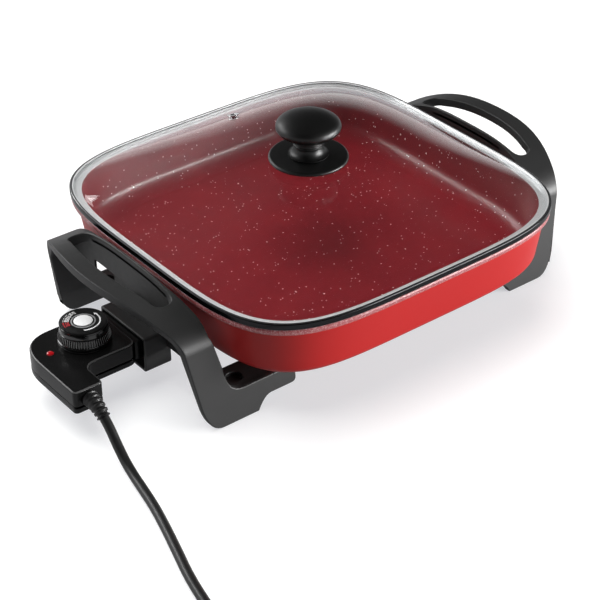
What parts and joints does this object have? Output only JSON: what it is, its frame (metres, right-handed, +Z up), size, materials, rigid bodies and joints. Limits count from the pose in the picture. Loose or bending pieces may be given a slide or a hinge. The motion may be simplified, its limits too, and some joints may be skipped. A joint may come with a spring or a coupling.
{
  "type": "electric pan",
  "caption": "Countertop electric pan with a lift-off domed glass lid, handles that are also feet, and a plug-in dial control on a mains cord.",
  "frame": {"origin": "centre of the footprint without the cord, on the worktop", "axes": "+X towards the plain handle, away from the control; -Y towards the side where the cord leaves; +Z up"},
  "size_m": [0.5738, 0.4745, 0.1547],
  "materials": {
    "pan_enamel": "gloss red enamel outside, speckled dark red non-stick inside, over die-cast metal",
    "handle_phenolic": "fine-grained heat-proof moulding, soft highlights on its edges",
    "knob_phenolic": "polished black moulding",
    "control_plastic": "satin black moulding with light bevels",
    "dial_plastic": "gloss black with ribs on its rim",
    "lid_glass": "clear tempered glass",
    "stainless": "rolled stainless, brushed round the rim",
    "plated_steel": "plated, fine machining marks",
    "element_sheath": "heat-tinted tube",
    "brass": "drawn, slightly dull",
    "cast_aluminium": "as cast",
    "ceramic": "unglazed steatite",
    "red_lens": "clear red, moulded",
    "lamp_glass": "small neon lamp",
    "dial_print": "printed disc with plain numbers",
    "cap_silver": "silver lacquer",
    "cord_rubber": "smooth black jacket",
    "tie_plastic": "moulded strap"
  },
  "bodies": {
    "pan": {"pan_shell": "pan_enamel", "heating_element": "element_sheath", "terminal_insulator_1": "ceramic", "terminal_insulator_2": "ceramic", "terminal_pin_1": "plated_steel", "terminal_pin_2": "plated_steel", "sensor_well": "cast_aluminium", "handle_right": "handle_phenolic", "handle_left": "handle_phenolic", "handle_screw_1": "plated_steel", "handle_screw_2": "plated_steel", "handle_screw_3": "plated_steel", "handle_screw_4": "plated_steel"},
    "lid": {"lid_band": "stainless", "lid_glass": "lid_glass", "vent_eyelet": "stainless", "knob_skirt": "knob_phenolic", "lid_knob": "knob_phenolic", "knob_washer": "cord_rubber", "knob_screw": "plated_steel"},
    "control": {"control_cover": "control_plastic", "control_base": "control_plastic", "housing_screw_1": "plated_steel", "housing_screw_2": "plated_steel", "housing_screw_3": "plated_steel", "contact_block": "control_plastic", "contact_sleeve_1": "brass", "contact_sleeve_2": "brass", "sensing_rod": "plated_steel", "thermostat_frame": "plated_steel", "thermostat_blade": "brass", "pilot_lens": "red_lens", "pilot_lamp": "lamp_glass", "strain_relief": "cord_rubber", "cord_clamp": "tie_plastic", "power_cord": "cord_rubber", "cord_coil": "cord_rubber", "cord_tie": "tie_plastic", "plug_body": "cord_rubber", "plug_pin_1": "brass", "plug_pin_2": "brass", "plug_pin_3": "brass"},
    "dial": {"dial_knob": "dial_plastic", "dial_plate": "dial_print", "dial_cap": "cap_silver", "dial_shaft": "plated_steel"}
  },
  "joints": [
    {"name": "lid_lift", "type": "slide", "parent": "pan", "child": "lid", "axis": [0, 0, 1], "range_m": [0, 0.12]},
    {"name": "control_pull", "type": "slide", "parent": "pan", "child": "control", "axis": [-1, 0, 0], "range_m": [0, 0.085]},
    {"name": "dial_turn", "type": "hinge", "parent": "control", "child": "dial", "pos_m": [-0.17875, 0, 0.045], "axis": [0, 0, 1], "range_deg": [0, 270]}
  ]
}
